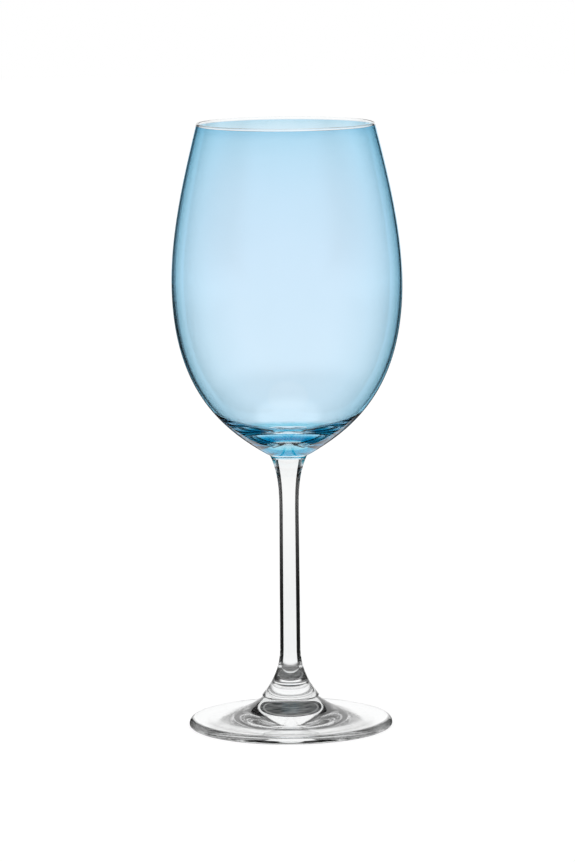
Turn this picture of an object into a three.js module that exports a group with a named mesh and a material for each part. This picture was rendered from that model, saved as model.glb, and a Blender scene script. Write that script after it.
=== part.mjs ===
// A stemmed wine glass: a blown clear bowl with a thick base, a transparent blue colour coat on the
// outside of the bowl, a drawn solid stem and a pressed foot.
// Millimetres, +Z up. The foot rests on the plane z = 0 and the axis of every piece is the Z axis.
import * as THREE from "three";

// Foot
const footRadius = 37.9;
const footEdgeThickness = 2.8;
const footEdgeTopRound = 2.2;
const footEdgeBottomRound = 0.5;
const footRise = 7.9; // from the top of the edge to the seam under the stem
const footSweep = 2.6; // power of the concave top: higher keeps the disc flat for longer
const footHollowRadius = 31.0;
const footHollowDepth = 0.8;
const footRoofRadius = 18.0; // the hollow's flat roof, inside the skirt that falls to the rest ring
const footRecessRadius = 7.9; // a shallow round pressed into the roof's middle
const footRecessDepth = 0.3;

// Stem
const stemLength = 90.9;
const stemBaseRadius = 10.6;
const stemBaseRound = 0.6; // rounded corner above the lower seam
const stemLowRadius = 3.8; // just above the lower flare
const stemHighRadius = 3.6; // just below the upper flare
const stemTopRadius = 6.9;
const stemBaseFlareLength = 18.8; // above the rounded corner
const stemBaseFlarePower = 2.3;
const stemTopFlareLength = 23.0;
const stemTopFlarePower = 3.3;

// Bowl outline
const bowlHeight = 123.4;
const bowlWidestRadius = 42.57;
const bowlWidestHeight = 64.9; // above the seam on the stem
const bowlShoulderFullness = 19.9; // how far the outline runs on upright above the widest ring
const bowlBellyFullness = 37.4; // the same below the widest ring
const bowlBaseAngle = THREE.MathUtils.degToRad(30.4); // rise of the outline where it leaves the stem
const bowlBaseFullness = 21.9; // how far it keeps that rise
const bareCollar = 1.5; // clear glass between the stem and the colour coat
const rimRadius = 32.5; // to the middle of the lip
const rimLean = THREE.MathUtils.degToRad(13.9);
const rimFullness = 15.8;

// Bowl wall, measured square to the outline, and the floor inside
const rimWall = 0.8;
const rimBeadProud = 0.15; // the bead stands out this far on each side of the lip
const widestWall = 0.75;
const heelWall = 1.1;
const heelShare = 0.4; // where the wall turns into the floor, as a share of the belly's curve
const baseThickness = 6.9; // on the axis
const floorEdgeFullness = 8.0;
const floorFullness = 14.0;

// Colour coat
const coatThickness = 0.05;

// Facets
const turnSegments = 40;
const heelSteps = 5;
const bellySteps = 8;
const shoulderSteps = 8;
const floorSteps = 6;
const beadSteps = 6;
const baseRoundSteps = 2;
const flareSteps = 8;
const footSweepSteps = 8;
const footRoundSteps = 3;
const footSkirtSteps = 5;

// The two seams and the heights of the bowl's landmarks
const footSeamHeight = footEdgeThickness + footRise;
const footSeamRadius = stemBaseRadius - stemBaseRound;
const bowlSeamHeight = footSeamHeight + stemLength;
const widestHeight = bowlSeamHeight + bowlWidestHeight;
const rimHeight = bowlSeamHeight + bowlHeight;
const floorHeight = bowlSeamHeight + baseThickness;

const { lerp } = THREE.MathUtils;
const point = (radius, height) => new THREE.Vector2(radius, height);

// What a function gives at even steps from one value to another, both ends included.
function stepped(from, to, steps, make) {
  return Array.from({ length: steps + 1 }, (_, i) => make(lerp(from, to, i / steps)));
}

// A point moved by a distance in a direction, which is an angle from the outward radius.
function along(start, angle, distance) {
  const step = point(Math.cos(angle), Math.sin(angle)).multiplyScalar(distance);
  return start.clone().add(step);
}

// A point at a share of a rising curve, moved outwards by a distance square to the curve.
function beside(curve, share, distance) {
  return along(curve.getPoint(share), curve.getTangent(share).angle() - Math.PI / 2, distance);
}

function arc(centre, radius, fromAngle, toAngle, steps) {
  return stepped(fromAngle, toAngle, steps, (angle) => along(centre, angle, radius));
}

// The lip: a bead a little thicker than the wall, and the two points where the wall runs into it.
const beadRadius = rimWall / 2 + rimBeadProud;
const beadCentre = point(rimRadius, rimHeight - beadRadius);
const beadMeet = Math.acos(rimWall / 2 / beadRadius);
const beadFrom = rimLean - beadMeet;
const beadTo = Math.PI + rimLean + beadMeet;
const lipDown = rimLean - Math.PI / 2; // direction down the wall from the lip

// The outline of the bowl: the belly up to the widest ring, then the shoulder up to the lip.
const collarTop = along(point(stemTopRadius, bowlSeamHeight), bowlBaseAngle, bareCollar);
const widest = point(bowlWidestRadius, widestHeight);
const lipOutside = along(beadCentre, beadFrom, beadRadius);
const belly = new THREE.CubicBezierCurve(
  collarTop,
  along(collarTop, bowlBaseAngle, bowlBaseFullness),
  point(widest.x, widest.y - bowlBellyFullness),
  widest,
);
const shoulder = new THREE.CubicBezierCurve(
  widest,
  point(widest.x, widest.y + bowlShoulderFullness),
  along(lipOutside, lipDown, rimFullness),
  lipOutside,
);

// The outline from the bare collar to the lip, moved outwards by a distance.
function wallOutside(distance) {
  return [
    ...stepped(0, heelShare, heelSteps, (share) => beside(belly, share, distance)),
    ...stepped(heelShare, 1, bellySteps, (share) => beside(belly, share, distance)).slice(1),
    ...stepped(0, 1, shoulderSteps, (share) => beside(shoulder, share, distance)).slice(1),
  ];
}

// The inside from the lip to the middle of the floor: the wall's thickness in from the outline as
// far as the heel, then a curve that leaves along the wall and arrives level on the axis.
function wallInside() {
  const shoulderWall = (share) => lerp(widestWall, rimWall, share);
  const bellyWall = (share) => lerp(heelWall, widestWall, (share - heelShare) / (1 - heelShare));
  const heel = beside(belly, heelShare, -heelWall);
  const heelDown = belly.getTangent(heelShare).angle() + Math.PI;
  const floor = new THREE.CubicBezierCurve(
    heel,
    along(heel, heelDown, floorEdgeFullness),
    point(floorFullness, floorHeight),
    point(0, floorHeight),
  );
  return [
    ...stepped(1, 0, shoulderSteps, (share) => beside(shoulder, share, -shoulderWall(share))),
    ...stepped(1, heelShare, bellySteps, (share) => beside(belly, share, -bellyWall(share))).slice(1),
    ...floor.getPoints(floorSteps).slice(1),
  ];
}

// The bowl, from the middle of its seam on the stem, over the lip, to the middle of its floor.
function bowlProfile() {
  return [
    point(0, bowlSeamHeight),
    point(stemTopRadius, bowlSeamHeight),
    ...wallOutside(0),
    ...arc(beadCentre, beadRadius, beadFrom, beadTo, beadSteps).slice(1, -1),
    ...wallInside(),
  ];
}

// The coat, up its outer face and back down the bowl's own outside.
function coatProfile() {
  const outerFace = wallOutside(coatThickness);
  return [...outerFace, ...wallOutside(0).reverse(), outerFace[0]];
}

// The stem, from the middle of its lower seam to the middle of its upper seam.
function stemProfile() {
  const roundCentre = point(footSeamRadius, footSeamHeight + stemBaseRound);
  const baseFlare = stepped(1, 0, flareSteps, (share) => {
    const spread = (stemBaseRadius - stemLowRadius) * share ** stemBaseFlarePower;
    return point(stemLowRadius + spread, roundCentre.y + stemBaseFlareLength * (1 - share));
  });
  const topFlare = stepped(0, 1, flareSteps, (share) => {
    const spread = (stemTopRadius - stemHighRadius) * share ** stemTopFlarePower;
    return point(stemHighRadius + spread, bowlSeamHeight - stemTopFlareLength * (1 - share));
  });
  return [
    point(0, footSeamHeight),
    ...arc(roundCentre, stemBaseRound, -Math.PI / 2, 0, baseRoundSteps),
    ...baseFlare.slice(1),
    ...topFlare,
    point(0, bowlSeamHeight),
  ];
}

// The foot, from the middle of its hollow underside, round the edge, to the middle of its seam.
function footProfile() {
  const recessTop = footHollowDepth + footRecessDepth;
  const bottomCentre = point(footRadius - footEdgeBottomRound, footEdgeBottomRound);
  const topCentre = point(footRadius - footEdgeTopRound, footEdgeThickness - footEdgeTopRound);
  const skirt = stepped(0, 1, footSkirtSteps, (share) =>
    point(
      lerp(footRoofRadius, footHollowRadius, share),
      (footHollowDepth * (1 + Math.cos(Math.PI * share))) / 2,
    ),
  );
  const sweep = stepped(0, 1, footSweepSteps, (share) =>
    point(
      lerp(topCentre.x, footSeamRadius, share),
      footEdgeThickness + footRise * share ** footSweep,
    ),
  );
  return [
    point(0, recessTop),
    point(footRecessRadius - footRecessDepth, recessTop),
    point(footRecessRadius, footHollowDepth),
    ...skirt,
    ...arc(bottomCentre, footEdgeBottomRound, -Math.PI / 2, 0, footRoundSteps),
    ...arc(topCentre, footEdgeTopRound, 0, Math.PI / 2, footRoundSteps),
    ...sweep.slice(1),
    point(0, footSeamHeight),
  ];
}

function glass(color, opacity) {
  return new THREE.MeshStandardMaterial({
    color,
    opacity,
    transparent: true,
    roughness: 0.02,
    metalness: 0,
  });
}

// A named piece: a profile turned about the Z axis.
function turnedPiece(name, profile, material) {
  const geometry = new THREE.LatheGeometry(profile, turnSegments).rotateX(Math.PI / 2);
  const mesh = new THREE.Mesh(geometry, material);
  mesh.name = name;
  return mesh;
}

const wineGlass = new THREE.Group();
wineGlass.add(
  turnedPiece("foot", footProfile(), glass(0xf3f6f7, 0.35)),
  turnedPiece("stem", stemProfile(), glass(0xf3f6f7, 0.35)),
  turnedPiece("bowl", bowlProfile(), glass(0xf3f8fa, 0.3)),
  turnedPiece("bowl_colour_coat", coatProfile(), glass(0x7cc4ec, 0.5)),
);

export default wineGlass;
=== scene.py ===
"""A stemmed wine glass on a white sweep: clear foot, stem and bowl, with a sky blue coat on the bowl.

Metres, +Z up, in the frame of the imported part: the foot stands on z = 0 and every piece is turned
about the Z axis.
"""

import logging
import math
from dataclasses import dataclass, field
from enum import Enum
from typing import Any, Callable, Sequence

import bpy
import numpy as np
from mathutils import Matrix, Vector


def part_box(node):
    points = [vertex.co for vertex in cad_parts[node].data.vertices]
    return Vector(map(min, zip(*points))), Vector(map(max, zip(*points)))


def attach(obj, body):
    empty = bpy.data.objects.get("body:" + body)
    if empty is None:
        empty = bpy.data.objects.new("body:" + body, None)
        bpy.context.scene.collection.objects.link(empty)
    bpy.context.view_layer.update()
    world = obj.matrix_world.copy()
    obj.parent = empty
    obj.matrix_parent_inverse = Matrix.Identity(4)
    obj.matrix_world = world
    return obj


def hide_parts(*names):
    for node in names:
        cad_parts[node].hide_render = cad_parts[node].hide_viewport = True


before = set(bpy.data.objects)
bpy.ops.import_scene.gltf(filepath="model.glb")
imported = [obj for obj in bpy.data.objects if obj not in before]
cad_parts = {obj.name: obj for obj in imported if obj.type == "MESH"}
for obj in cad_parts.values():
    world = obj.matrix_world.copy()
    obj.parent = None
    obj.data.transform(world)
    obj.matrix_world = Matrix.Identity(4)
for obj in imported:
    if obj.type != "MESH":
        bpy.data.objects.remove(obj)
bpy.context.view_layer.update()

LOG = logging.getLogger("wine_glass")
BODY = "root"
MM = 0.001
TURN_STEPS = 224
CURVE_STEPS = 64
FLARE_STEPS = 80
SWEEP_STEPS = 96
SKIRT_STEPS = 48
SCREEN_STEPS = 96
SHARP_EDGE = math.radians(22)
GLASS_INDEX = 1.52
GLASS_BOUNCES = 40
MIRROR_BOUNCES = 24

Colour = tuple[float, float, float]


class Face(Enum):
    """What a stretch of an outline is. The number is the material slot that it takes."""

    POLISHED = 0
    FUSED = 1


class Tree(Enum):
    """What a node tree ends in, as the type of its output node."""

    MATERIAL = "ShaderNodeOutputMaterial"
    WORLD = "ShaderNodeOutputWorld"


class Signal:
    """A shader socket that takes part in Python sums."""

    def __init__(self, graph: "Graph", socket: bpy.types.NodeSocket) -> None:
        """Keep the tree and the socket."""
        self.graph = graph
        self.socket = socket

    def __add__(self, other: "Signal | float") -> "Signal":
        """This plus another."""
        return self.graph.math("ADD", self, other)

    def __radd__(self, other: float) -> "Signal":
        """A number plus this."""
        return self.graph.math("ADD", other, self)

    def __sub__(self, other: "Signal | float") -> "Signal":
        """This less another."""
        return self.graph.math("SUBTRACT", self, other)

    def __rsub__(self, other: float) -> "Signal":
        """A number less this."""
        return self.graph.math("SUBTRACT", other, self)

    def __mul__(self, other: "Signal | float") -> "Signal":
        """This times another."""
        return self.graph.math("MULTIPLY", self, other)

    def __rmul__(self, other: float) -> "Signal":
        """A number times this."""
        return self.graph.math("MULTIPLY", other, self)

    def __truediv__(self, other: "Signal | float") -> "Signal":
        """This over another."""
        return self.graph.math("DIVIDE", self, other)

    def __rtruediv__(self, other: float) -> "Signal":
        """A number over this."""
        return self.graph.math("DIVIDE", other, self)

    def __lt__(self, other: "Signal | float") -> "Signal":
        """One where this is less than another, else nothing."""
        return self.graph.math("LESS_THAN", self, other)

    def most(self, other: "Signal | float") -> "Signal":
        """The larger of this and another."""
        return self.graph.math("MAXIMUM", self, other)


@dataclass(frozen=True)
class Rays:
    """What kind of ray meets a surface, each a signal that is one for that kind.

    Attributes:
        camera: A ray straight from the camera.
        glass: A ray that glass has mirrored or let through.
        mirrored: A ray that glass has mirrored.
    """

    camera: Signal
    glass: Signal
    mirrored: Signal


class Graph:
    """A node tree that is emptied and then filled by expressions."""

    def __init__(self, owner: bpy.types.Material | bpy.types.World, ends_in: Tree) -> None:
        """Empty the owner's tree and give it its output node.

        Args:
            owner: The material or world whose tree it is.
            ends_in: The kind of output.
        """
        owner.use_nodes = True
        self.tree = owner.node_tree
        self.tree.nodes.clear()
        self.output = self.tree.nodes.new(ends_in.value)

    def node(
        self,
        kind: str,
        settings: dict[str, Any] | None = None,
        sockets: dict[str | int, Any] | None = None,
    ) -> bpy.types.Node:
        """Add a node.

        Args:
            kind: The node's type.
            settings: Its own settings, set first. "stops" holds a ramp's places and colours.
            sockets: Values or links of its inputs, by name or number.

        Returns:
            The node.
        """
        made = self.tree.nodes.new(kind)
        for name, value in (settings or {}).items():
            if name == "stops":
                self._set_stops(made.color_ramp, value)
            else:
                setattr(made, name, value)
        for key, value in (sockets or {}).items():
            source = value.socket if isinstance(value, Signal) else value
            if isinstance(source, bpy.types.NodeSocket):
                self.tree.links.new(source, made.inputs[key])
            else:
                made.inputs[key].default_value = source
        return made

    @staticmethod
    def _set_stops(ramp: bpy.types.ColorRamp, stops: Sequence[tuple[float, Colour]]) -> None:
        """Give a ramp its stops.

        Args:
            ramp: The ramp, which has two stops.
            stops: Places from 0 to 1 with their colours, in order.
        """
        while len(ramp.elements) < len(stops):
            ramp.elements.new(1.0)
        for element, (place, colour) in zip(ramp.elements, stops):
            element.position = place
            element.color = (*colour, 1.0)

    def math(self, operation: str, *values: Signal | float) -> Signal:
        """A Math node on values."""
        made = self.node("ShaderNodeMath", {"operation": operation}, dict(enumerate(values)))
        return Signal(self, made.outputs[0])

    def signal(self, node: bpy.types.Node, output: str | int = 0) -> Signal:
        """One of a node's outputs as a signal."""
        return Signal(self, node.outputs[output])

    def place(self) -> bpy.types.NodeSocket:
        """The point on the piece, in the part's own frame."""
        return self.node("ShaderNodeTexCoord").outputs["Object"]

    def axes(self) -> tuple[Signal, Signal, Signal]:
        """The three coordinates of that point."""
        split = self.node("ShaderNodeSeparateXYZ", None, {0: self.place()})
        return self.signal(split, "X"), self.signal(split, "Y"), self.signal(split, "Z")

    def facing(self) -> Signal:
        """How far a face turns from the ray: 0 where it is met squarely, 1 where it is looked along."""
        return self.signal(self.node("ShaderNodeLayerWeight", None, {"Blend": 0.5}), "Facing")

    def rays(self) -> Rays:
        """The kinds of ray.

        Returns:
            A signal for each kind. Light that glass lets through counts as glossy too, so a mirrored
            ray is one that is glossy and not let through.
        """
        path = self.node("ShaderNodeLightPath")
        glossy = self.signal(path, "Is Glossy Ray")
        through = self.signal(path, "Is Transmission Ray")
        camera = self.signal(path, "Is Camera Ray")
        return Rays(camera, glossy.most(through), glossy * (1 - through))

    def noise(self, size: float, detail: float, stretch: Colour = (1.0, 1.0, 1.0)) -> Signal:
        """Cloudy noise from 0 to 1.

        Args:
            size: Width of a cloud in metres.
            detail: Layers of finer noise.
            stretch: How much finer the clouds are along each axis.

        Returns:
            The noise.
        """
        mapping = self.node("ShaderNodeMapping", None, {"Vector": self.place(), "Scale": stretch})
        sockets = {"Vector": mapping.outputs[0], "Scale": 1.0 / size, "Detail": detail}
        return self.signal(self.node("ShaderNodeTexNoise", None, sockets), "Fac")

    def ramp(self, value: Signal, start: float, end: float) -> Signal:
        """A smooth rise from nothing to one.

        Args:
            value: What it goes by.
            start: The value up to which it is nothing.
            end: The value from which it is one, and which may be the lower of the two.

        Returns:
            The rise.
        """
        sockets = {"Value": value, "From Min": start, "From Max": end}
        node = self.node("ShaderNodeMapRange", {"interpolation_type": "SMOOTHSTEP"}, sockets)
        return self.signal(node)

    def glow(self, level: Signal) -> bpy.types.Node:
        """A white light of a level."""
        return self.node("ShaderNodeEmission", None, {"Color": level, "Strength": 1.0})

    def blend(self, share: Signal, first: bpy.types.Node, second: bpy.types.Node) -> bpy.types.Node:
        """The first shader, with the second laid over it by a share."""
        sockets = {0: share, 1: first.outputs[0], 2: second.outputs[0]}
        return self.node("ShaderNodeMixShader", None, sockets)

    def finish(self, shader: bpy.types.Node) -> None:
        """Lead a shader to the output."""
        self.tree.links.new(shader.outputs[0], self.output.inputs["Surface"])


def new_material(name: str, shader: Callable[[Graph], bpy.types.Node]) -> bpy.types.Material:
    """Make a material.

    Args:
        name: Its name.
        shader: What fills its tree and returns the shader that it ends in.

    Returns:
        The material.
    """
    made = bpy.data.materials.new(name)
    graph = Graph(made, Tree.MATERIAL)
    graph.finish(shader(graph))
    return made


class Finish:
    """What faces are made of."""

    def shader(self, graph: Graph) -> bpy.types.Node:
        """Fill a tree, and return the shader that it ends in."""
        raise NotImplementedError


@dataclass(frozen=True)
class Waviness:
    """Slow waves in a fire-polished face.

    Attributes:
        size: Width of a wave in metres.
        depth: Height of a wave in metres.
        stretch: How much finer the waves are along each axis.
    """

    size: float
    depth: float
    stretch: Colour = (1.0, 1.0, 1.0)

    def normal(self, graph: Graph) -> bpy.types.NodeSocket:
        """The waves as a normal.

        Args:
            graph: The tree that takes the nodes.

        Returns:
            The socket that holds the normal.
        """
        height = graph.noise(self.size, 1.0, self.stretch)
        sockets = {"Height": height, "Strength": 1.0, "Distance": self.depth}
        return graph.node("ShaderNodeBump", None, sockets).outputs["Normal"]


def polished_glass(
    graph: Graph,
    colour: bpy.types.NodeSocket,
    roughness: Signal,
    waves: Waviness,
) -> bpy.types.Node:
    """A shader of glass that light goes through.

    Args:
        graph: The tree that takes the nodes.
        colour: Colour of white light after two faces.
        roughness: Roughness of a face.
        waves: Waves in the faces.

    Returns:
        The shader.
    """
    return graph.node(
        "ShaderNodeBsdfPrincipled",
        None,
        {
            "Base Color": colour,
            "Roughness": roughness,
            "IOR": GLASS_INDEX,
            "Transmission Weight": 1.0,
            "Normal": waves.normal(graph),
        },
    )


@dataclass(frozen=True)
class Underside:
    """The underside of a pressed foot: a dull hollow with a round of painted shade in its middle.

    Attributes:
        top: Height below which a face belongs to it.
        hollow_radius: Radius of the hollow.
        dull: Roughness that the mould leaves in the hollow.
        painted_shade_radius: Radius of the round of painted shade.
        ring: Inner and outer radius of a ring of painted highlight in the round.
        painted_shade_rough: Roughness of the round of painted shade.
        streak_size: Width of a streak of the painted shade.
        streak_stretch: How much finer the streaks are along each axis.
        dark: Colour of the painted shade's darker streaks.
        light: Colour of the painted shade's lighter streaks.
        pale: Colour of the painted highlight ring.
    """

    top: float
    hollow_radius: float
    dull: float
    painted_shade_radius: float
    ring: tuple[float, float]
    painted_shade_rough: float = 0.8
    streak_size: float = 3 * MM
    streak_stretch: Colour = (1.0, 2.5, 1.0)
    # dark, light and pale colour the painted shade and its painted highlight ring, not the glass.
    dark: Colour = (0.08, 0.085, 0.085)
    light: Colour = (0.55, 0.56, 0.56)
    pale: Colour = (0.95, 0.95, 0.95)

    def within(self, graph: Graph, radius: float) -> Signal:
        """One on the underside within a radius of the axis, else nothing."""
        x, y, z = graph.axes()
        return (x * x + y * y < radius**2) * (z < self.top)

    def roughness(self, graph: Graph) -> Signal:
        """The hollow's own roughness, and nothing elsewhere."""
        return self.within(graph, self.hollow_radius) * self.dull

    def paint_shade(self, graph: Graph, glass: bpy.types.Node) -> bpy.types.Node:
        """Lay the round of painted shade, with its ring of painted highlight, over the glass.

        Args:
            graph: The tree that takes the nodes.
            glass: The clear glass's shader.

        Returns:
            Streaky grey painted shade and a pale painted highlight ring in the round, glass elsewhere.
        """
        # Painted shade: a streaky grey round for the shade seen through the foot's middle, edged by a
        # pale ring of painted highlight.
        inner, outer = (self.within(graph, radius) for radius in self.ring)
        streaks = graph.noise(self.streak_size, 3.0, self.streak_stretch)
        colour = graph.node(
            "ShaderNodeValToRGB",
            {"stops": [(0.35, self.dark), (0.65, self.light), (1.0, self.pale)]},
            {"Fac": streaks + (outer - inner)},
        )
        sockets = {"Base Color": colour.outputs["Color"], "Roughness": self.painted_shade_rough}
        painted_shade = graph.node("ShaderNodeBsdfPrincipled", None, sockets)
        return graph.blend(self.within(graph, self.painted_shade_radius), glass, painted_shade)


@dataclass(frozen=True)
class ClearGlass(Finish):
    """Colourless fire-polished glass.

    Attributes:
        waves: Waves in its faces.
        underside: The underside with its painted shade, where there is one.
        clear: Colour of white light after two faces.
        cloudy: The same where the melt is a little less clear.
        melt_size: Width of a cloud in the melt.
        haze: Roughness of a face where it has been handled.
        haze_size: Width of a handled patch.
    """

    waves: Waviness
    underside: Underside | None = None
    clear: Colour = (0.975, 0.982, 0.982)
    cloudy: Colour = (0.95, 0.96, 0.96)
    melt_size: float = 14 * MM
    haze: float = 0.006
    haze_size: float = 9 * MM

    def shader(self, graph: Graph) -> bpy.types.Node:
        """Fill a tree.

        Args:
            graph: The tree.

        Returns:
            The shader that it ends in.
        """
        melt = graph.node(
            "ShaderNodeValToRGB",
            {"stops": [(0.35, self.clear), (0.7, self.cloudy)]},
            {"Fac": graph.noise(self.melt_size, 2.0)},
        )
        roughness = graph.noise(self.haze_size, 3.0) * self.haze
        if self.underside:
            roughness = roughness + self.underside.roughness(graph)
        glass = polished_glass(graph, melt.outputs["Color"], roughness, self.waves)
        return self.underside.paint_shade(graph, glass) if self.underside else glass


@dataclass(frozen=True)
class ColourFilm(Finish):
    """The transparent blue film, denser towards the rim, and deeper where it is looked along, partly by
    its longer path and partly as painted edge shade.

    Attributes:
        low: Height of the film's lower edge.
        high: Height of its upper edge.
        waves: Waves in its face.
        stops: Colours of white light after two walls, by share of the film's height.
        slant_depth_and_shade: What is left of them, by how far the face turns from the eye: partly the
            film's longer path, partly painted edge shade.
        mottle: How far the sprayed film's density wanders, as a share of its height.
        mottle_size: Width of a mottled patch.
        haze: Roughness of its face where it has been handled.
        haze_size: Width of a handled patch.
    """

    low: float
    high: float
    waves: Waviness
    stops: tuple[tuple[float, Colour], ...] = (
        (0.0, (0.74, 0.88, 0.99)),
        (0.25, (0.70, 0.87, 0.985)),
        (0.6, (0.66, 0.84, 0.98)),
        (0.8, (0.60, 0.81, 0.96)),
        (0.92, (0.52, 0.77, 0.93)),
        (0.975, (0.43, 0.71, 0.88)),
        (1.0, (0.26, 0.57, 0.78)),
    )
    slant_depth_and_shade: tuple[tuple[float, Colour], ...] = (
        (0.1, (1.0, 1.0, 1.0)),
        (0.45, (0.75, 0.95, 1.0)),
        (0.7, (0.42, 0.86, 1.0)),
        (0.9, (0.1, 0.55, 0.8)),
    )
    mottle: float = 0.03
    mottle_size: float = 16 * MM
    haze: float = 0.006
    haze_size: float = 7 * MM

    def shader(self, graph: Graph) -> bpy.types.Node:
        """Fill a tree.

        Args:
            graph: The tree.

        Returns:
            The shader that it ends in.
        """
        share = (graph.axes()[2] - self.low) / (self.high - self.low)
        wander = (graph.noise(self.mottle_size, 3.0) - 0.5) * self.mottle
        density = graph.node("ShaderNodeValToRGB", {"stops": self.stops}, {"Fac": share + wander})
        # Painted shade: the tint darkens towards the edges far beyond what the film's longer path there
        # gives.
        slant_depth_and_shade = graph.node("ShaderNodeValToRGB", {"stops": self.slant_depth_and_shade}, {"Fac": graph.facing()})
        tint = graph.node(
            "ShaderNodeMixRGB",
            {"blend_type": "MULTIPLY"},
            {"Fac": 1.0, "Color1": density.outputs["Color"], "Color2": slant_depth_and_shade.outputs["Color"]},
        )
        roughness = graph.noise(self.haze_size, 3.0) * self.haze
        return polished_glass(graph, tint.outputs["Color"], roughness, self.waves)


@dataclass(frozen=True)
class FilmBond(Finish):
    """The film's own colour, met each time light goes through to the bowl or back.

    Attributes:
        pool_low: Height below which the film has pooled.
        pool_high: Height above which it is thin.
        thin: Colour of white light after the thin film.
        pooled: The same after the pooled film.
    """

    pool_low: float
    pool_high: float
    thin: Colour = (0.97, 0.985, 0.997)
    pooled: Colour = (0.16, 0.68, 0.8)

    def shader(self, graph: Graph) -> bpy.types.Node:
        """Fill a tree.

        Args:
            graph: The tree.

        Returns:
            The shader that it ends in.
        """
        ends = [
            graph.node("ShaderNodeBsdfTransparent", None, {"Color": (*colour, 1.0)})
            for colour in (self.pooled, self.thin)
        ]
        thin = graph.ramp(graph.axes()[2], self.pool_low, self.pool_high)
        return graph.blend(thin, *ends)


@dataclass(frozen=True)
class FusedJoint(Finish):
    """A face where glass has grown together with glass, so that light goes straight on.

    Attributes:
        passes: Colour of white light after the face.
    """

    passes: Colour = (1.0, 1.0, 1.0)

    def shader(self, graph: Graph) -> bpy.types.Node:
        """Fill a tree, and return the shader that it ends in."""
        return graph.node("ShaderNodeBsdfTransparent", None, {"Color": (*self.passes, 1.0)})


@dataclass(frozen=True)
class Run:
    """A stretch of a half outline.

    Attributes:
        points: Radius and height of its points, one per row, with the outside on the right of travel.
        face: What the stretch is.
    """

    points: np.ndarray
    face: Face = Face.POLISHED


@dataclass(frozen=True)
class Bezier:
    """A cubic curve in the plane of radius and height.

    Attributes:
        start: Where it starts.
        leave: The point that it heads for as it leaves.
        arrive: The point that it comes from as it arrives.
        end: Where it ends.
    """

    start: np.ndarray
    leave: np.ndarray
    arrive: np.ndarray
    end: np.ndarray

    def at(self, share: np.ndarray) -> np.ndarray:
        """Points at shares of the curve: the four points weighted by the cubic Bernstein terms.

        Args:
            share: Shares from 0 to 1.

        Returns:
            Radius and height at each share.
        """
        t = share[:, None]
        u = 1 - t
        ends = u**3 * self.start + t**3 * self.end
        return ends + 3 * u * t * (u * self.leave + t * self.arrive)

    def heading(self, share: np.ndarray) -> np.ndarray:
        """Directions of travel: the derivative of the Bernstein form, made one long.

        Args:
            share: Shares from 0 to 1.

        Returns:
            A unit vector for each share.
        """
        t = share[:, None]
        u = 1 - t
        first = u**2 * (self.leave - self.start)
        middle = 2 * u * t * (self.arrive - self.leave)
        way = first + middle + t**2 * (self.end - self.arrive)
        return way / np.linalg.norm(way, axis=1, keepdims=True)

    def beside(self, share: np.ndarray, distance: np.ndarray | float) -> np.ndarray:
        """Points moved to the right of travel, square to the curve.

        Args:
            share: Shares from 0 to 1.
            distance: How far, one for all or one for each.

        Returns:
            Radius and height of each moved point.
        """
        way = self.heading(share)
        right = np.column_stack((way[:, 1], -way[:, 0]))
        return self.at(share) + right * np.reshape(distance, (-1, 1))


def point(radius: float, height: float) -> np.ndarray:
    """A point of a half outline."""
    return np.array((radius, height))


def line(start: np.ndarray, end: np.ndarray, steps: int = 1) -> np.ndarray:
    """Points at even steps on a straight line, both ends included."""
    return np.linspace(start, end, steps + 1)


def along(start: np.ndarray, angle: float, distance: float) -> np.ndarray:
    """A point moved in a direction, which is an angle from the outward radius."""
    return start + distance * point(math.cos(angle), math.sin(angle))


def arc(centre: np.ndarray, radius: float, start: float, end: float, steps: int) -> np.ndarray:
    """Points on a circle.

    Args:
        centre: Its centre.
        radius: Its radius.
        start: Angle of the first point from the outward radius.
        end: Angle of the last point.
        steps: Number of steps between them.

    Returns:
        Radius and height of each point: the centre plus the radius along each angle.
    """
    angle = np.linspace(start, end, steps + 1)
    return centre + radius * np.column_stack((np.cos(angle), np.sin(angle)))


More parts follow.
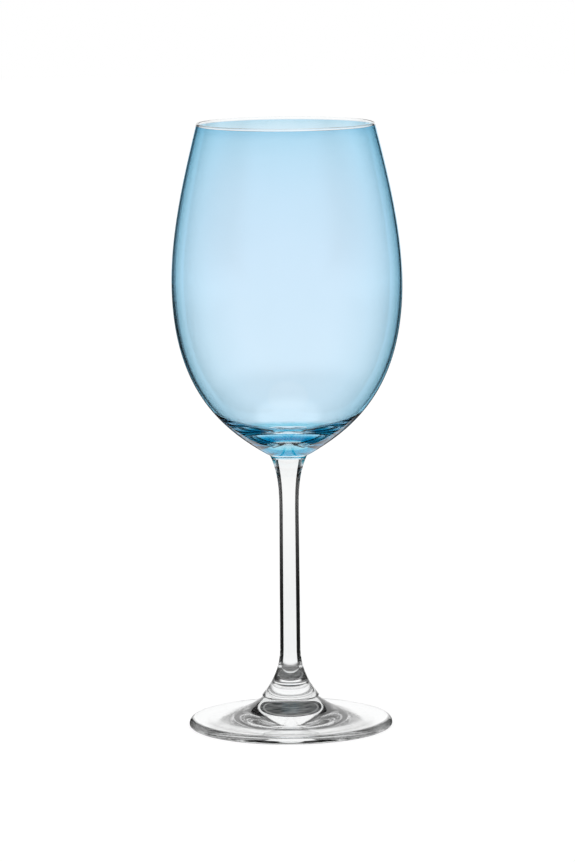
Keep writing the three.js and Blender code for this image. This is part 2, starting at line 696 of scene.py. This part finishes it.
def turned_mesh(name: str, runs: Sequence[Run]) -> bpy.types.Mesh:
    """Turn a half outline about the Z axis.

    A point at radius r and height h becomes (r cos a, r sin a, h) for the turn a from 0 to a full
    circle. An outline that starts and ends on the axis gets one vertex at each end; one that comes
    back to its start makes a ring.

    Args:
        name: The mesh's name.
        runs: Stretches of the outline, each starting where the last one ended.

    Returns:
        The mesh, smooth but for its corners.
    """
    outline = np.concatenate([run.points[:-1] for run in runs] + [runs[-1].points[-1:]])
    span_face = np.concatenate([np.full(len(run.points) - 1, run.face.value) for run in runs])
    is_ring = outline[0, 0] > 0
    rows = outline[:-1] if is_ring else outline[1:-1]
    turn = np.arange(TURN_STEPS) * (2 * math.pi / TURN_STEPS)
    radius, height = np.broadcast_arrays(rows[:, :1], rows[:, 1:], turn[None])[:2]
    grid = np.stack((radius * np.cos(turn), radius * np.sin(turn), height), axis=-1)
    number = np.arange(len(rows) * TURN_STEPS).reshape(len(rows), TURN_STEPS)
    if is_ring:
        number = np.vstack((number, number[:1]))
    ahead = np.roll(number, -1, axis=1)
    corners = (number[:-1], ahead[:-1], ahead[1:], number[1:])
    quads = np.stack(corners, axis=-1).reshape(-1, 4)
    vertices = grid.reshape(-1, 3)
    faces = quads.tolist()
    if is_ring:
        slots = np.repeat(span_face, TURN_STEPS)
    else:
        poles = np.array(((0, 0, outline[0, 1]), (0, 0, outline[-1, 1])))
        first, last = len(vertices), len(vertices) + 1
        vertices = np.concatenate((vertices, poles))
        start_fan = np.column_stack((np.full(TURN_STEPS, first), ahead[0], number[0]))
        end_fan = np.column_stack((number[-1], ahead[-1], np.full(TURN_STEPS, last)))
        faces += start_fan.tolist() + end_fan.tolist()
        slots = np.repeat(np.append(span_face[1:-1], span_face[[0, -1]]), TURN_STEPS)
    mesh = bpy.data.meshes.new(name)
    mesh.from_pydata(vertices.tolist(), [], faces)
    mesh.polygons.foreach_set("material_index", slots.astype(np.int32))
    mesh.shade_smooth()
    mesh.set_sharp_from_angle(angle=SHARP_EDGE)
    return mesh


class TurnedPiece:
    """A turned piece of glass that stands for a node of the part.

    Attributes:
        node: The node that it stands for, and its own name with _glass after it.
        slot: The record's material slot.
    """

    node: str
    slot: str

    def runs(self) -> list[Run]:
        """The stretches of the half outline."""
        raise NotImplementedError

    def finishes(self) -> dict[str, Finish]:
        """The finishes by their materials' names, in the order of Face."""
        raise NotImplementedError

    def build(self) -> bpy.types.Object:
        """Make the piece's object.

        Returns:
            The object, at the origin, without materials.
        """
        name = f"{self.node}_glass"
        made = bpy.data.objects.new(name, turned_mesh(name, self.runs()))
        bpy.context.scene.collection.objects.link(made)
        return made

    def dress(self, made: bpy.types.Object) -> None:
        """Give the object its materials and its place in the part.

        Args:
            made: The piece's object.
        """
        for name, finish in self.finishes().items():
            made.data.materials.append(new_material(name, finish.shader))
        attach(made, BODY)
        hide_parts(self.node)
        LOG.info("%s: %d faces", made.name, len(made.data.polygons))


@dataclass
class Foot(TurnedPiece):
    """The pressed foot: a disc with a rounded edge that sweeps up to the stem, hollowed underneath.

    Attributes:
        radius: Outer radius.
        seam_height: Height of the seam under the stem.
        seam_radius: Radius of that seam.
        edge_thickness: Thickness at the edge.
        edge_top_round: Radius of the edge's upper corner.
        edge_bottom_round: Radius of its lower corner.
        sweep: Power of the concave top.
        hollow_radius: Radius of the hollow underneath.
        hollow_depth: Its depth.
        roof_radius: Radius of its flat roof.
        recess_radius: Radius of the recess in the roof's middle.
        recess_depth: Its depth.
        painted_shade_radius: How far the painted shade reaches.
        highlight_ring_inside: How far the ring of painted highlight reaches inside the recess's edge.
        highlight_ring_outside: How far it reaches outside that edge.
        dull: Roughness that the mould leaves in the hollow.
        waves: Waves in the pressed faces.
    """

    node = "foot"
    slot = "foot_glass"
    radius: float = field(default_factory=lambda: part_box("foot")[1].x)
    seam_height: float = field(default_factory=lambda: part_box("foot")[1].z)
    seam_radius: float = field(default_factory=lambda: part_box("stem")[1].x - Stem.base_round)
    edge_thickness: float = 2.8 * MM
    edge_top_round: float = 2.2 * MM
    edge_bottom_round: float = 0.5 * MM
    sweep: float = 2.6
    hollow_radius: float = 31.0 * MM
    hollow_depth: float = 0.8 * MM
    roof_radius: float = 18.0 * MM
    recess_radius: float = 7.9 * MM
    recess_depth: float = 0.3 * MM
    painted_shade_radius: float = 9.0 * MM
    highlight_ring_inside: float = 0.45 * MM
    highlight_ring_outside: float = 0.15 * MM
    dull: float = 0.08
    waves: Waviness = Waviness(size=9 * MM, depth=0.01 * MM)

    def runs(self) -> list[Run]:
        """The outline from the middle of the hollow, round the edge, to the middle of the seam.

        Returns:
            The recess; the hollow's flat roof; its skirt, which falls as half a cosine wave;
            the flat ring; the two rounded corners; the top, which rises by a power of its share of
            the way in; and the seam.
        """
        share = np.linspace(0, 1, SKIRT_STEPS + 1)
        top = self.hollow_depth + self.recess_depth
        recess = line(point(0, top), point(self.recess_radius - self.recess_depth, top), steps=16)
        lip = point(self.recess_radius, self.hollow_depth)
        roof = line(lip, point(self.roof_radius, self.hollow_depth), steps=16)
        skirt = np.column_stack(
            (
                self.roof_radius + (self.hollow_radius - self.roof_radius) * share,
                self.hollow_depth * (1 + np.cos(math.pi * share)) / 2,
            )
        )
        low = point(self.radius - self.edge_bottom_round, self.edge_bottom_round)
        high = point(self.radius - self.edge_top_round, self.edge_thickness - self.edge_top_round)
        edge = np.concatenate(
            (
                arc(low, self.edge_bottom_round, -math.pi / 2, 0, steps=12),
                arc(high, self.edge_top_round, 0, math.pi / 2, steps=8),
            )
        )
        share = np.linspace(0, 1, SWEEP_STEPS + 1)
        rise = self.seam_height - self.edge_thickness
        sweep = np.column_stack(
            (
                high[0] + (self.seam_radius - high[0]) * share,
                self.edge_thickness + rise * share**self.sweep,
            )
        )
        seam = line(sweep[-1], point(0, self.seam_height), steps=6)
        return [
            Run(recess),
            Run(line(recess[-1], lip, steps=3)),
            Run(roof),
            Run(skirt),
            Run(line(skirt[-1], edge[0], steps=6)),
            Run(edge),
            Run(sweep),
            Run(seam, Face.FUSED),
        ]

    def finishes(self) -> dict[str, Finish]:
        """The foot's finishes.

        Returns:
            Pressed clear glass with painted shade and a painted highlight ring underneath, and the
            seam.
        """
        underside = Underside(
            top=self.hollow_depth + 2 * self.recess_depth,
            hollow_radius=self.hollow_radius,
            dull=self.dull,
            painted_shade_radius=self.painted_shade_radius,
            ring=(self.recess_radius - self.highlight_ring_inside, self.recess_radius + self.highlight_ring_outside),
        )
        # The pressed glass's material also holds the painted shade and painted highlight ring under the
        # foot.
        return {"pressed_glass_and_painted_shade": ClearGlass(self.waves, underside), "foot_seam": FusedJoint()}


@dataclass
class Stem(TurnedPiece):
    """The drawn stem: a solid rod, flared at both ends.

    Attributes:
        low: Height of the seam on the foot.
        high: Height of the seam under the bowl.
        base_radius: Radius at the foot.
        base_round: Radius of the edge there.
        low_radius: Radius above the lower flare.
        high_radius: Radius below the upper flare.
        top_radius: Radius under the bowl.
        base_flare_length: Length of the lower flare.
        base_flare_power: Power by which it widens.
        top_flare_length: Length of the upper flare.
        top_flare_power: Power by which it widens.
        waves: Waves in the drawn face, long along the draw.
    """

    node = "stem"
    slot = "stem_glass"
    low: float = field(default_factory=lambda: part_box("stem")[0].z)
    high: float = field(default_factory=lambda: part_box("stem")[1].z)
    base_radius: float = field(default_factory=lambda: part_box("stem")[1].x)
    base_round: float = 0.6 * MM
    low_radius: float = 3.8 * MM
    high_radius: float = 3.6 * MM
    top_radius: float = 6.9 * MM
    base_flare_length: float = 19.4 * MM
    base_flare_power: float = 2.3
    top_flare_length: float = 23.0 * MM
    top_flare_power: float = 3.3
    waves: Waviness = Waviness(size=6 * MM, depth=0.02 * MM, stretch=(1.0, 1.0, 0.12))

    def runs(self) -> list[Run]:
        """The outline from the middle of the lower seam to the middle of the upper seam.

        Returns:
            The lower seam; the lower flare, whose radius grows by a power of the share of its length;
            a straight taper; the upper flare, made as the lower one; and the upper seam.
        """
        share = np.linspace(1, 0, FLARE_STEPS + 1)
        base = np.column_stack(
            (
                self.low_radius + (self.base_radius - self.low_radius) * share**self.base_flare_power,
                self.low + self.base_round + (self.base_flare_length - self.base_round) * (1 - share),
            )
        )
        rounded = arc(
            point(self.base_radius - self.base_round, self.low + self.base_round),
            self.base_round,
            -math.pi / 2,
            0,
            steps=8,
        )
        share = share[::-1]
        top = np.column_stack(
            (
                self.high_radius + (self.top_radius - self.high_radius) * share**self.top_flare_power,
                self.high - self.top_flare_length * (1 - share),
            )
        )
        return [
            Run(line(point(0, self.low), rounded[0], steps=6), Face.FUSED),
            Run(rounded),
            Run(base),
            Run(line(base[-1], top[0], steps=32)),
            Run(top),
            Run(line(top[-1], point(0, self.high), steps=6), Face.FUSED),
        ]

    def finishes(self) -> dict[str, Finish]:
        """Drawn clear glass, and the seams."""
        return {"drawn_clear_glass": ClearGlass(self.waves), "stem_seams": FusedJoint()}


@dataclass
class BowlForm:
    """The form that the bowl and its coat share.

    Attributes:
        seam_height: Height of the seam on the stem.
        rim_height: Height of the top of the lip.
        widest_radius: Outer radius at the widest ring.
        seam_radius: Radius of the seam on the stem.
        widest_height: Height of the widest ring above the seam.
        shoulder_fullness: How far the outline runs on upright above the widest ring.
        belly_fullness: The same below it.
        base_angle: Rise of the outline where it leaves the stem.
        base_fullness: How far it keeps that rise.
        bare_collar: Clear glass between the stem and the coat.
        rim_radius: Radius to the middle of the lip.
        rim_lean: Lean of the wall at the lip.
        rim_fullness: How far the wall keeps that lean below the lip.
        rim_wall: Wall at the lip.
        bead_proud: How far the lip's bead stands out on each side.
        widest_wall: Wall at the widest ring.
        heel_wall: Wall where it turns into the floor.
        heel_share: Where it does so, as a share of the belly's curve.
        base_thickness: Thickness of the base on the axis.
        floor_edge_fullness: How far the floor runs on along the wall.
        floor_fullness: How far the floor is level around the axis.
        film: Thickness of the coat.
        waves: Waves in the blown faces, which the coat follows.
    """

    seam_height: float = field(default_factory=lambda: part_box("bowl")[0].z)
    rim_height: float = field(default_factory=lambda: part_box("bowl")[1].z)
    widest_radius: float = field(default_factory=lambda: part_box("bowl")[1].x)
    seam_radius: float = 6.9 * MM
    widest_height: float = 64.9 * MM
    shoulder_fullness: float = 19.9 * MM
    belly_fullness: float = 37.4 * MM
    base_angle: float = math.radians(30.4)
    base_fullness: float = 21.9 * MM
    bare_collar: float = 1.5 * MM
    rim_radius: float = 32.5 * MM
    rim_lean: float = math.radians(13.9)
    rim_fullness: float = 15.8 * MM
    rim_wall: float = 0.8 * MM
    bead_proud: float = 0.15 * MM
    widest_wall: float = 0.75 * MM
    heel_wall: float = 1.1 * MM
    heel_share: float = 0.4
    base_thickness: float = 6.9 * MM
    floor_edge_fullness: float = 8.0 * MM
    floor_fullness: float = 14.0 * MM
    film: float = 0.05 * MM
    waves: Waviness = Waviness(size=30 * MM, depth=0.02 * MM)

    @property
    def bead_radius(self) -> float:
        """Radius of the lip's bead."""
        return self.rim_wall / 2 + self.bead_proud

    @property
    def bead_centre(self) -> np.ndarray:
        """Centre of the lip's bead."""
        return point(self.rim_radius, self.rim_height - self.bead_radius)

    @property
    def bead_meet(self) -> float:
        """Angle from the wall's own direction at which its faces run into the bead."""
        return math.acos(self.rim_wall / 2 / self.bead_radius)

    @property
    def collar_top(self) -> np.ndarray:
        """The coat's lower edge on the outline."""
        return along(point(self.seam_radius, self.seam_height), self.base_angle, self.bare_collar)

    @property
    def lip_outside(self) -> np.ndarray:
        """Where the outline runs into the bead."""
        return along(self.bead_centre, self.rim_lean - self.bead_meet, self.bead_radius)

    @property
    def widest(self) -> np.ndarray:
        """The outline's widest point."""
        return point(self.widest_radius, self.seam_height + self.widest_height)

    @property
    def belly(self) -> Bezier:
        """The outline from the coat's lower edge to the widest ring.

        Returns:
            A curve that leaves with the base's rise and arrives upright.
        """
        return Bezier(
            self.collar_top,
            along(self.collar_top, self.base_angle, self.base_fullness),
            self.widest - point(0, self.belly_fullness),
            self.widest,
        )

    @property
    def shoulder(self) -> Bezier:
        """The outline from the widest ring to the lip.

        Returns:
            A curve that leaves upright and arrives with the lip's lean.
        """
        return Bezier(
            self.widest,
            self.widest + point(0, self.shoulder_fullness),
            along(self.lip_outside, self.rim_lean - math.pi / 2, self.rim_fullness),
            self.lip_outside,
        )

    def outside(self, distance: float) -> np.ndarray:
        """The outline from the coat's lower edge to the lip, moved outwards.

        Args:
            distance: How far, square to the outline.

        Returns:
            Radius and height of its points, upwards.
        """
        share = np.linspace(0, 1, CURVE_STEPS + 1)
        belly = self.belly.beside(share, distance)
        return np.concatenate((belly, self.shoulder.beside(share[1:], distance)))

    def inside(self) -> np.ndarray:
        """The inside from the lip to the middle of the floor.

        Returns:
            Radius and height of its points: the wall's thickness in from the outline, which goes
            evenly from the rim's to the widest ring's and on to the heel's, then a cubic curve that
            leaves along the wall and arrives level on the axis.
        """
        share = np.linspace(1, 0, CURVE_STEPS + 1)
        wall = self.widest_wall + (self.rim_wall - self.widest_wall) * share
        upper = self.shoulder.beside(share, -wall)
        wall = self.heel_wall + (self.widest_wall - self.heel_wall) * share
        place = self.heel_share + (1 - self.heel_share) * share
        lower = self.belly.beside(place, -wall)
        down = -self.belly.heading(place[-1:])[0]
        level = self.seam_height + self.base_thickness
        floor = Bezier(
            lower[-1],
            lower[-1] + self.floor_edge_fullness * down,
            point(self.floor_fullness, level),
            point(0, level),
        )
        return np.concatenate((upper, lower[1:], floor.at(share[::-1])[1:]))


@dataclass
class Bowl(TurnedPiece):
    """The blown bowl: a thin wall on a thick base, with a bead round the lip.

    Attributes:
        form: Its form.
        clear: Colour of white light after two faces.
        cloudy: The same where the melt is a little less clear.
    """

    node = "bowl"
    slot = "bowl_glass"
    form: BowlForm
    clear: Colour = (0.99, 0.995, 1.0)
    cloudy: Colour = (0.98, 0.99, 0.995)

    def runs(self) -> list[Run]:
        """The outline from the middle of the seam, over the lip, to the middle of the floor.

        Returns:
            The seam, the bare collar, the face under the coat, the bead and the inside.
        """
        form = self.form
        outside = form.outside(0.0)
        meet = form.bead_meet
        start, end = form.rim_lean - meet, math.pi + form.rim_lean + meet
        bead = arc(form.bead_centre, form.bead_radius, start, end, steps=28)
        inside = form.inside()
        seam_edge = point(form.seam_radius, form.seam_height)
        bead[0] = outside[-1]
        bead[-1] = inside[0]
        return [
            Run(line(point(0, form.seam_height), seam_edge, steps=6), Face.FUSED),
            Run(line(seam_edge, outside[0], steps=4)),
            Run(outside, Face.FUSED),
            Run(bead),
            Run(inside),
        ]

    def finishes(self) -> dict[str, Finish]:
        """Blown clear glass, and the faces under the coat and on the stem."""
        glass = ClearGlass(self.form.waves, clear=self.clear, cloudy=self.cloudy)
        return {"blown_clear_glass": glass, "bowl_seams": FusedJoint()}


@dataclass
class ColourCoat(TurnedPiece):
    """The blue film on the outside of the bowl.

    Attributes:
        form: The bowl's form.
        pool_from: How far above its lower edge the film is pooled.
        pool_to: How far above that edge it has become thin.
    """

    node = "bowl_colour_coat"
    slot = "colour_coat"
    form: BowlForm
    pool_from: float = 2 * MM
    pool_to: float = 7 * MM

    def runs(self) -> list[Run]:
        """The outline as a ring.

        Returns:
            The film's face, its upper edge, the bowl's outside downwards, and the lower edge.
        """
        face = self.form.outside(self.form.film)
        bond = self.form.outside(0.0)[::-1]
        return [
            Run(face),
            Run(line(face[-1], bond[0])),
            Run(bond, Face.FUSED),
            Run(line(bond[-1], face[0])),
        ]

    def finishes(self) -> dict[str, Finish]:
        """The coat's finishes.

        Returns:
            The film, and the face by which it holds to the bowl.
        """
        low, high = self.form.collar_top[1], self.form.lip_outside[1]
        return {
            "sky_blue_film_and_edge_shade": ColourFilm(low, high, self.form.waves),
            "film_bond": FilmBond(low + self.pool_from, low + self.pool_to),
        }


@dataclass(frozen=True)
class Glow:
    """Light on the inside of the screen, full in its front above a height.

    Attributes:
        level: Its full brightness.
        front: How far back it is full, from -1 at the front to 1 at the back.
        side: How far back it ends.
        low: Height at which it starts.
        high: Height from which it is full.
    """

    level: float
    front: float
    side: float
    low: float
    high: float

    def strength(self, graph: Graph, back: Signal, height: Signal) -> Signal:
        """Its strength at a place.

        Args:
            graph: The tree that takes the nodes.
            back: How far back the place is, from -1 to 1.
            height: The place's height.

        Returns:
            The strength.
        """
        forward = graph.ramp(back, self.side, self.front)
        return forward * graph.ramp(height, self.low, self.high) * self.level


@dataclass(frozen=True)
class Softbox:
    """A square lamp that faces the glass and isn't seen in it.

    Attributes:
        name: Its name.
        place: Where it hangs.
        size: Its side.
        power: Its power in watts.
    """

    name: str
    place: tuple[float, float, float]
    size: float
    power: float

    def build(self) -> None:
        """Make the lamp."""
        light = bpy.data.lights.new(self.name, "AREA")
        light.size = self.size
        light.energy = self.power
        lamp = bpy.data.objects.new(self.name, light)
        lamp.location = self.place
        lamp.rotation_euler = (-Vector(self.place)).to_track_quat("-Z", "Y").to_euler()
        lamp.visible_glossy = False
        lamp.visible_transmission = False
        bpy.context.scene.collection.objects.link(lamp)


def stage_mesh(
    name: str,
    vertices: np.ndarray,
    faces: np.ndarray,
    shader: Callable[[Graph], bpy.types.Node],
) -> bpy.types.Object:
    """A mesh of the stage.

    Args:
        name: Its name.
        vertices: Its points, one per row.
        faces: Its four-sided faces, one per row.
        shader: What fills its material's tree and returns the shader that it ends in.

    Returns:
        Its object, marked as stage.
    """
    mesh = bpy.data.meshes.new(name)
    mesh.from_pydata(vertices.tolist(), [], faces.tolist())
    mesh.shade_smooth()
    mesh.materials.append(new_material(name, shader))
    made = bpy.data.objects.new(name, mesh)
    bpy.context.scene.collection.objects.link(made)
    return made


@dataclass
class Studio:
    """A white sweep with soft light, and a black screen that edges the glass.

    The screen stands round the glass, open towards the backdrop, on a black board with a hole for the
    foot. Only the glass shows them, and only the glass shows the shade on the floor under the foot.

    Attributes:
        surround_level: Brightness by which the surround lights the floor.
        floor_size: Side of the floor.
        floor_gap: How far the floor lies below the foot, so that their faces don't meet.
        floor_colour: Colour of the floor where it takes the glass's shadow.
        shadow_share: Share of the floor's look that takes that shadow.
        camera_level: Brightness of the rest of its look.
        shade_rim: Radii over which the shade under the foot ends.
        core_rim: Radii over which the darkest part of the shade ends.
        steep_level: Brightness of the rest of the shade where it is looked down at.
        gloss_range: Facing, from 0 looking straight down to 1 along the floor, over which it brightens.
        gloss_end: Facing, from the larger value down, over which it brightens too.
        plan_range: The same for a look straight down, at which floor and board are white.
        floor_mirror: Brightness of the far floor where the glass mirrors it.
        mirror_rim: Radii over which the far floor starts.
        mirror_range: Facing over which it starts, from the larger value down.
        screen_radii: Distance of the screen from the axis on the left and the right.
        screen_edges: Angles from the backdrop's middle at which it starts on the left and the right.
        screen_top: Height of the screen.
        board_hole: Radius of the hole for the foot in the board.
        black_level: Brightness of the screen's and the board's black.
        low_glow: Light low on the front of the screen, for what the glass lets through.
        high_glow: Light high up on the screen, for the same.
        mirror_glow: Light on the screen for what the glass mirrors.
        softboxes: The lamps.
    """

    surround_level: float = 0.9
    floor_size: float = 8.0
    floor_gap: float = 0.05 * MM
    floor_colour: Colour = (0.95, 0.95, 0.95)
    shadow_share: float = 0.2
    camera_level: float = 1.05
    shade_rim: tuple[float, float] = (38 * MM, 60 * MM)
    core_rim: tuple[float, float] = (18 * MM, 26 * MM)
    steep_level: float = 0.04
    gloss_range: tuple[float, float] = (0.42, 0.56)
    gloss_end: tuple[float, float] = (0.95, 0.9)
    plan_range: tuple[float, float] = (0.12, 0.05)
    floor_mirror: float = 0.05
    mirror_rim: tuple[float, float] = (200 * MM, 300 * MM)
    mirror_range: tuple[float, float] = (0.91, 0.88)
    screen_radii: tuple[float, float] = (125 * MM, 150 * MM)
    screen_edges: tuple[float, float] = (math.radians(28), math.radians(30))
    screen_top: float = 600 * MM
    board_hole: float = 38.5 * MM
    black_level: float = 0.012
    low_glow: Glow = Glow(1.0, -0.9, -0.3, 20 * MM, 80 * MM)
    high_glow: Glow = Glow(1.0, 0.2, 1.05, 130 * MM, 160 * MM)
    mirror_glow: Glow = Glow(1.0, -0.5, 0.8, 20 * MM, 70 * MM)
    softboxes: tuple[Softbox, ...] = (
        Softbox("key_softbox", (-0.9, -1.1, 1.5), 1.2, 6.0),
        Softbox("fill_softbox", (1.2, -0.6, 1.2), 1.4, 3.0),
    )

    def build(self, camera: bpy.types.Object) -> None:
        """Make the surround, the floor, the lamps and the screen.

        Args:
            camera: The camera that the screen's turntable faces.
        """
        self._surround()
        self._floor()
        for softbox in self.softboxes:
            softbox.build()
        self._screen(self._turntable(camera))

    def _surround(self) -> None:
        """Make a world that gives a plain soft light, and that the camera and the glass see white."""
        world = bpy.data.worlds.new("white_surround")
        bpy.context.scene.world = world
        graph = Graph(world, Tree.WORLD)
        rays = graph.rays()
        level = self.surround_level + (1 - self.surround_level) * rays.camera.most(rays.glass)
        graph.finish(graph.node("ShaderNodeBackground", None, {"Color": level, "Strength": 1.0}))

    def _floor(self) -> None:
        """Make the floor."""
        signs = np.array(((-1, -1), (1, -1), (1, 1), (-1, 1)))
        corners = np.column_stack((signs * self.floor_size / 2, np.full(4, -self.floor_gap)))
        stage_mesh("white_floor", corners, np.arange(4)[None], self._floor_white)

    def _floor_white(self, graph: Graph) -> bpy.types.Node:
        """The floor's white.

        Args:
            graph: The tree that takes the nodes.

        Returns:
            A white that keeps a soft shadow, and that the glass shows dark under the foot.
        """
        rays = graph.rays()
        facing = graph.facing()
        length = graph.node("ShaderNodeVectorMath", {"operation": "LENGTH"}, {0: graph.place()})
        reach = graph.signal(length, "Value")
        gloss = graph.ramp(facing, *self.gloss_range) * graph.ramp(facing, *self.gloss_end)
        shade = self.steep_level + (1 - self.steep_level) * gloss
        shade = shade * graph.ramp(reach, *self.core_rim)
        for white in (
            rays.camera * self.camera_level,
            graph.ramp(facing, *self.plan_range),
            graph.ramp(reach, *self.shade_rim),
        ):
            shade = shade.most(white)
        far = graph.ramp(reach, *self.mirror_rim) * graph.ramp(facing, *self.mirror_range)
        dim = 1 - (1 - self.floor_mirror) * rays.mirrored * far
        lit = graph.node("ShaderNodeBsdfDiffuse", None, {"Color": (*self.floor_colour, 1.0)})
        share = rays.camera * (1 - self.shadow_share) + rays.glass
        return graph.blend(share, lit, graph.glow(shade * dim))

    @staticmethod
    def _turntable(camera: bpy.types.Object) -> bpy.types.Object:
        """Make the screen's turntable.

        Args:
            camera: The camera that it faces.

        Returns:
            An empty object that turns about the Z axis.
        """
        turntable = bpy.data.objects.new("screen_turntable", None)
        bpy.context.scene.collection.objects.link(turntable)
        track = turntable.constraints.new("LOCKED_TRACK")
        track.target = camera
        track.track_axis = "TRACK_NEGATIVE_Y"
        track.lock_axis = "LOCK_Z"
        return turntable

    def _screen(self, turntable: bpy.types.Object) -> None:
        """Make the screen and its board.

        A point at a share s of the way round from the left edge, and at a height h, lies at the angle
        a that goes evenly from the left edge, past the front, to the right edge, and at the distance
        from the axis that goes evenly from the left radius to the right one: (r sin a, r cos a, h).
        The board fills the ring between the hole's radius and that distance.

        Args:
            turntable: What they stand on.
        """
        share = np.linspace(0, 1, SCREEN_STEPS + 1)
        angle = -self.screen_edges[0] - share * (2 * math.pi - sum(self.screen_edges))
        radius = self.screen_radii[0] + share * (self.screen_radii[1] - self.screen_radii[0])
        way = np.column_stack((np.sin(angle), np.cos(angle), 0 * angle))
        base = radius[:, None] * way
        wall = np.concatenate((base, base + (0, 0, self.screen_top)))
        ring = np.concatenate((self.board_hole * way, base)) - (0, 0, self.floor_gap / 2)
        low = np.arange(SCREEN_STEPS)
        high = low + SCREEN_STEPS + 1
        faces = np.column_stack((low, low + 1, high + 1, high))
        screen = stage_mesh("black_screen", wall, faces, self._screen_black)
        board = stage_mesh("black_board", ring, faces, self._board_black)
        for made in (screen, board):
            made.parent = turntable
            made.visible_camera = False
            made.visible_diffuse = False
            made.visible_shadow = False

    def _screen_black(self, graph: Graph) -> bpy.types.Node:
        """The screen's black.

        Args:
            graph: The tree that takes the nodes.

        Returns:
            A black with a glow on it, other for what the glass mirrors than for what it lets through.
        """
        _, y, height = graph.axes()
        back = y / min(self.screen_radii)
        through = self.low_glow.strength(graph, back, height)
        through = through.most(self.high_glow.strength(graph, back, height))
        mirrored = self.mirror_glow.strength(graph, back, height)
        ends = [graph.glow(level + self.black_level) for level in (through, mirrored)]
        return graph.blend(graph.rays().mirrored, *ends)

    def _board_black(self, graph: Graph) -> bpy.types.Node:
        """The board's black, which turns white to a look straight down."""
        white = graph.ramp(graph.facing(), *self.plan_range)
        return graph.glow(white.most(self.black_level))


@dataclass(frozen=True)
class Viewpoint:
    """Where the picture is taken from.

    Attributes:
        distance: Distance in front of the axis.
        height: Height above the floor.
        aside: How far the camera stands to the left of the axis.
        pitch: How far it looks down.
        roll: How far the picture is turned to the left.
        lens: Focal length in millimetres.
        sensor: Sensor's long side in millimetres.
        clip: Nearest and farthest distance that it sees.
    """

    distance: float = 1.6403
    height: float = 0.3410
    aside: float = 0.31 * MM
    pitch: float = math.radians(7.995)
    roll: float = math.radians(0.52)
    lens: float = 186.6
    sensor: float = 36.0
    clip: tuple[float, float] = (0.1, 50.0)

    def build(self) -> bpy.types.Object:
        """Make the camera.

        Returns:
            The camera's object, which is the scene's camera.
        """
        data = bpy.data.cameras.new("viewpoint")
        data.lens = self.lens
        data.sensor_width = self.sensor
        data.clip_start, data.clip_end = self.clip
        camera = bpy.data.objects.new("viewpoint", data)
        bpy.context.scene.collection.objects.link(camera)
        tilt = Matrix.Rotation(math.pi / 2 - self.pitch, 4, "X")
        turn = Matrix.Rotation(-self.roll, 4, "Z")
        place = Matrix.Translation((-self.aside, -self.distance, self.height))
        camera.matrix_world = place @ tilt @ turn
        bpy.context.scene.camera = camera
        return camera


def set_light_paths() -> None:
    """Show plain colours, and let light go through all the faces that lie behind each other."""
    scene = bpy.context.scene
    scene.view_settings.view_transform = "Standard"
    scene.cycles.max_bounces = GLASS_BOUNCES
    scene.cycles.transmission_bounces = GLASS_BOUNCES
    scene.cycles.glossy_bounces = MIRROR_BOUNCES
    scene.cycles.transparent_max_bounces = GLASS_BOUNCES


def main() -> None:
    """Build the glass and its studio."""
    logging.basicConfig(level=logging.INFO, format="%(message)s")
    form = BowlForm()
    for piece in (Foot(), Stem(), Bowl(form), ColourCoat(form)):
        piece.dress(piece.build())
    camera = Viewpoint().build()
    Studio().build(camera)
    set_light_paths()


if __name__ == "__main__":
    main()
